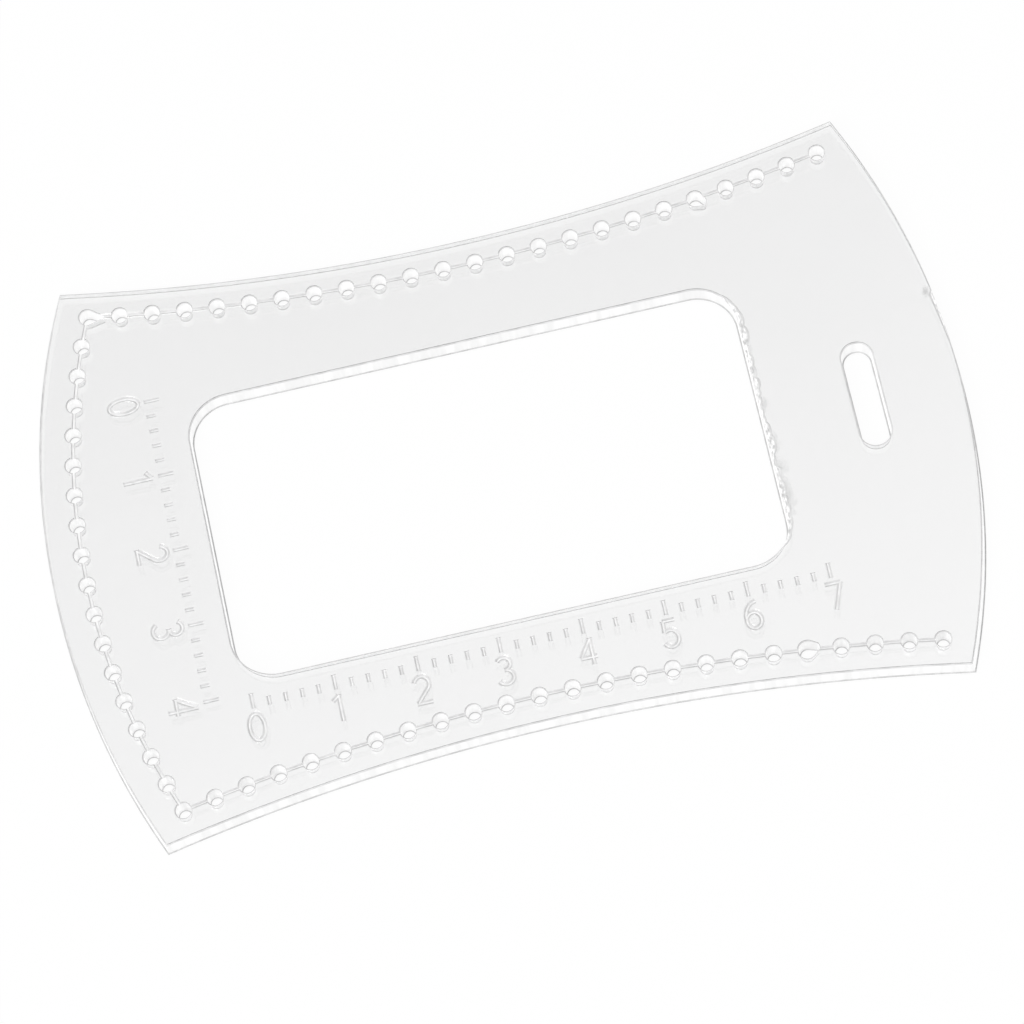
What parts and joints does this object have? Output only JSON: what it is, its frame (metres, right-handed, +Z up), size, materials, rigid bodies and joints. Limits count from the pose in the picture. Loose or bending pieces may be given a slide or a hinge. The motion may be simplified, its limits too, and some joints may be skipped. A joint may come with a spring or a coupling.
{
  "type": "leather craft template",
  "caption": "Flat clear acrylic template with waisted long sides and bowed ends, for marking out a leather card holder: a window, a strap slot and rows of stitch marking holes.",
  "frame": {"origin": "under the middle of the template, on the surface that it lies on", "axes": "+X along the length towards the slot end, +Y across, +Z up through the thickness to the front face"},
  "size_m": [0.112, 0.074, 0.0025],
  "materials": {
    "clear_acrylic": "clear cast acrylic, polished faces, laser-cut edges",
    "masking_film": "thin clear protective film with a soft gloss"
  },
  "bodies": {
    "root": {"acrylic_plate": "clear_acrylic", "front_masking_film": "masking_film", "back_masking_film": "masking_film"}
  },
  "joints": []
}
